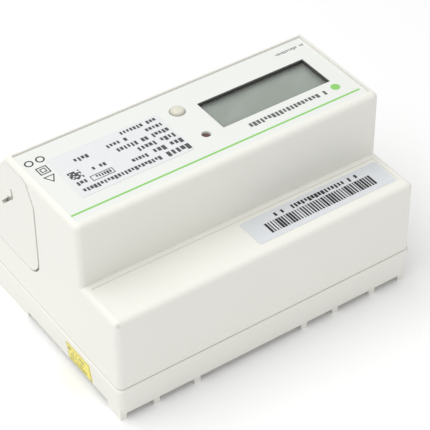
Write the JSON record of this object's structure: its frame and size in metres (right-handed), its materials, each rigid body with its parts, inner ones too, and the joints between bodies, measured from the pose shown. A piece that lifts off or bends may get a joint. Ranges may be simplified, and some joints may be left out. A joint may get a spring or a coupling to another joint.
{
  "type": "electricity meter",
  "caption": "Modular electricity meter for a 35 mm mounting rail, with a raised display block, a push button and a sloped slide-off terminal cover.",
  "frame": {"origin": "centre of the bounding box at its lowest plane, which is the plane of the feet behind the mounting rail", "axes": "+Z points out of the front, +Y is the side that is uppermost when mounted, +X is the right-hand end for someone who reads the front"},
  "size_m": [0.1224, 0.0899, 0.0707],
  "materials": {
    "housing": "fine matt texture, warm white",
    "cover": "fine matt texture, warm white",
    "panel": "smooth satin, cool white",
    "clear_window": "clear, polished",
    "display": "smooth grey-green glass",
    "dark_plastic": "matt",
    "contact_rubber": "matt",
    "circuit_board": "satin lacquer",
    "light_lens": "clear tinted lens",
    "button": "satin, slightly translucent",
    "grey_plastic": "matt",
    "signal_plastic": "matt",
    "cable_foil": "flat foil",
    "winding": "lacquered laminations",
    "capacitor_sleeve": "shrink sleeve",
    "core_sleeve": "potted ring",
    "copper": "bright copper strip",
    "steel": "zinc plated",
    "screw_steel": "nickel plated",
    "cage_steel": "zinc plated",
    "label_film": "satin film",
    "yellow_film": "satin film",
    "latch_plastic": "matt"
  },
  "bodies": {
    "housing": {"base_housing": "housing", "upper_housing": "housing", "housing_screws": "steel", "front_panel": "panel", "display_window": "clear_window", "lcd_glass": "display", "lcd_holder": "dark_plastic", "lcd_contact_strips": "contact_rubber", "display_board": "circuit_board", "display_screws": "steel", "pulse_light": "light_lens", "button_switch": "dark_plastic", "main_board": "circuit_board", "board_spacers": "grey_plastic", "board_cable": "cable_foil", "supply_transformer": "winding", "supply_capacitors": "capacitor_sleeve", "metering_chip": "dark_plastic", "terminal_block": "grey_plastic", "signal_block": "signal_plastic", "voltage_tongues": "copper", "type_label": "label_film", "code_label": "label_film", "test_label": "yellow_film", "current_transformer_1": "core_sleeve", "current_bar_1": "copper", "current_transformer_2": "core_sleeve", "current_bar_2": "copper", "current_transformer_3": "core_sleeve", "current_bar_3": "copper"},
    "terminal_cover": {"terminal_cover": "cover"},
    "push_button": {"push_button": "button", "switch_plunger": "dark_plastic"},
    "latch_right": {"rail_latch_right": "latch_plastic"},
    "latch_left": {"rail_latch_left": "latch_plastic"},
    "screw_1": {"terminal_screw_1": "screw_steel"},
    "cage_1": {"terminal_cage_1": "cage_steel"},
    "screw_2": {"terminal_screw_2": "screw_steel"},
    "cage_2": {"terminal_cage_2": "cage_steel"},
    "screw_3": {"terminal_screw_3": "screw_steel"},
    "cage_3": {"terminal_cage_3": "cage_steel"},
    "screw_4": {"terminal_screw_4": "screw_steel"},
    "cage_4": {"terminal_cage_4": "cage_steel"},
    "screw_5": {"terminal_screw_5": "screw_steel"},
    "cage_5": {"terminal_cage_5": "cage_steel"},
    "screw_6": {"terminal_screw_6": "screw_steel"},
    "cage_6": {"terminal_cage_6": "cage_steel"},
    "screw_7": {"terminal_screw_7": "screw_steel"},
    "cage_7": {"terminal_cage_7": "cage_steel"},
    "screw_8": {"terminal_screw_8": "screw_steel"},
    "cage_8": {"terminal_cage_8": "cage_steel"},
    "screw_9": {"terminal_screw_9": "screw_steel"},
    "cage_9": {"terminal_cage_9": "cage_steel"},
    "screw_10": {"terminal_screw_10": "screw_steel"},
    "cage_10": {"terminal_cage_10": "cage_steel"},
    "signal_1": {"signal_screw_1": "screw_steel"},
    "signal_2": {"signal_screw_2": "screw_steel"},
    "signal_3": {"signal_screw_3": "screw_steel"},
    "signal_4": {"signal_screw_4": "screw_steel"}
  },
  "joints": [
    {"name": "cover_slide", "type": "slide", "parent": "housing", "child": "terminal_cover", "axis": [0, -1, 0], "range_m": [0, 0.046]},
    {"name": "button_press", "type": "slide", "parent": "housing", "child": "push_button", "axis": [0, 0, -1], "range_m": [0, 0.0008], "stiffness_N_per_m": 600, "springref_m": -0.0006},
    {"name": "latch_right_slide", "type": "slide", "parent": "housing", "child": "latch_right", "axis": [0, -1, 0], "range_m": [0, 0.0045], "stiffness_N_per_m": 900, "springref_m": -0.001},
    {"name": "latch_left_slide", "type": "slide", "parent": "housing", "child": "latch_left", "axis": [0, -1, 0], "range_m": [0, 0.0045], "stiffness_N_per_m": 900, "springref_m": -0.001},
    {"name": "screw_1_turn", "type": "hinge", "parent": "housing", "child": "screw_1", "pos_m": [-0.0502, -0.0355, 0.034], "axis": [0, 0, -1], "range_deg": [0, 1440]},
    {"name": "cage_1_rise", "type": "slide", "parent": "housing", "child": "cage_1", "axis": [0, 0, 1], "range_m": [0, 0.0028]},
    {"name": "screw_2_turn", "type": "hinge", "parent": "housing", "child": "screw_2", "pos_m": [-0.0412, -0.0355, 0.034], "axis": [0, 0, -1], "range_deg": [0, 1440]},
    {"name": "cage_2_rise", "type": "slide", "parent": "housing", "child": "cage_2", "axis": [0, 0, 1], "range_m": [0, 0.0028]},
    {"name": "screw_3_turn", "type": "hinge", "parent": "housing", "child": "screw_3", "pos_m": [-0.0322, -0.0355, 0.034], "axis": [0, 0, -1], "range_deg": [0, 1440]},
    {"name": "cage_3_rise", "type": "slide", "parent": "housing", "child": "cage_3", "axis": [0, 0, 1], "range_m": [0, 0.0028]},
    {"name": "screw_4_turn", "type": "hinge", "parent": "housing", "child": "screw_4", "pos_m": [-0.0232, -0.0355, 0.034], "axis": [0, 0, -1], "range_deg": [0, 1440]},
    {"name": "cage_4_rise", "type": "slide", "parent": "housing", "child": "cage_4", "axis": [0, 0, 1], "range_m": [0, 0.0028]},
    {"name": "screw_5_turn", "type": "hinge", "parent": "housing", "child": "screw_5", "pos_m": [-0.0142, -0.0355, 0.034], "axis": [0, 0, -1], "range_deg": [0, 1440]},
    {"name": "cage_5_rise", "type": "slide", "parent": "housing", "child": "cage_5", "axis": [0, 0, 1], "range_m": [0, 0.0028]},
    {"name": "screw_6_turn", "type": "hinge", "parent": "housing", "child": "screw_6", "pos_m": [-0.0052, -0.0355, 0.034], "axis": [0, 0, -1], "range_deg": [0, 1440]},
    {"name": "cage_6_rise", "type": "slide", "parent": "housing", "child": "cage_6", "axis": [0, 0, 1], "range_m": [0, 0.0028]},
    {"name": "screw_7_turn", "type": "hinge", "parent": "housing", "child": "screw_7", "pos_m": [0.0038, -0.0355, 0.034], "axis": [0, 0, -1], "range_deg": [0, 1440]},
    {"name": "cage_7_rise", "type": "slide", "parent": "housing", "child": "cage_7", "axis": [0, 0, 1], "range_m": [0, 0.0028]},
    {"name": "screw_8_turn", "type": "hinge", "parent": "housing", "child": "screw_8", "pos_m": [0.0128, -0.0355, 0.034], "axis": [0, 0, -1], "range_deg": [0, 1440]},
    {"name": "cage_8_rise", "type": "slide", "parent": "housing", "child": "cage_8", "axis": [0, 0, 1], "range_m": [0, 0.0028]},
    {"name": "screw_9_turn", "type": "hinge", "parent": "housing", "child": "screw_9", "pos_m": [0.0218, -0.0355, 0.034], "axis": [0, 0, -1], "range_deg": [0, 1440]},
    {"name": "cage_9_rise", "type": "slide", "parent": "housing", "child": "cage_9", "axis": [0, 0, 1], "range_m": [0, 0.0028]},
    {"name": "screw_10_turn", "type": "hinge", "parent": "housing", "child": "screw_10", "pos_m": [0.0308, -0.0355, 0.034], "axis": [0, 0, -1], "range_deg": [0, 1440]},
    {"name": "cage_10_rise", "type": "slide", "parent": "housing", "child": "cage_10", "axis": [0, 0, 1], "range_m": [0, 0.0028]},
    {"name": "signal_1_turn", "type": "hinge", "parent": "housing", "child": "signal_1", "pos_m": [0.0413, -0.0355, 0.031], "axis": [0, 0, -1], "range_deg": [0, 1080]},
    {"name": "signal_2_turn", "type": "hinge", "parent": "housing", "child": "signal_2", "pos_m": [0.0459, -0.0355, 0.031], "axis": [0, 0, -1], "range_deg": [0, 1080]},
    {"name": "signal_3_turn", "type": "hinge", "parent": "housing", "child": "signal_3", "pos_m": [0.0505, -0.0355, 0.031], "axis": [0, 0, -1], "range_deg": [0, 1080]},
    {"name": "signal_4_turn", "type": "hinge", "parent": "housing", "child": "signal_4", "pos_m": [0.0551, -0.0355, 0.031], "axis": [0, 0, -1], "range_deg": [0, 1080]}
  ],
  "couplings": [
    {"joint": "screw_1_turn", "follows": "cage_1_rise", "rad_per_m": 8976},
    {"joint": "screw_2_turn", "follows": "cage_2_rise", "rad_per_m": 8976},
    {"joint": "screw_3_turn", "follows": "cage_3_rise", "rad_per_m": 8976},
    {"joint": "screw_4_turn", "follows": "cage_4_rise", "rad_per_m": 8976},
    {"joint": "screw_5_turn", "follows": "cage_5_rise", "rad_per_m": 8976},
    {"joint": "screw_6_turn", "follows": "cage_6_rise", "rad_per_m": 8976},
    {"joint": "screw_7_turn", "follows": "cage_7_rise", "rad_per_m": 8976},
    {"joint": "screw_8_turn", "follows": "cage_8_rise", "rad_per_m": 8976},
    {"joint": "screw_9_turn", "follows": "cage_9_rise", "rad_per_m": 8976},
    {"joint": "screw_10_turn", "follows": "cage_10_rise", "rad_per_m": 8976}
  ]
}
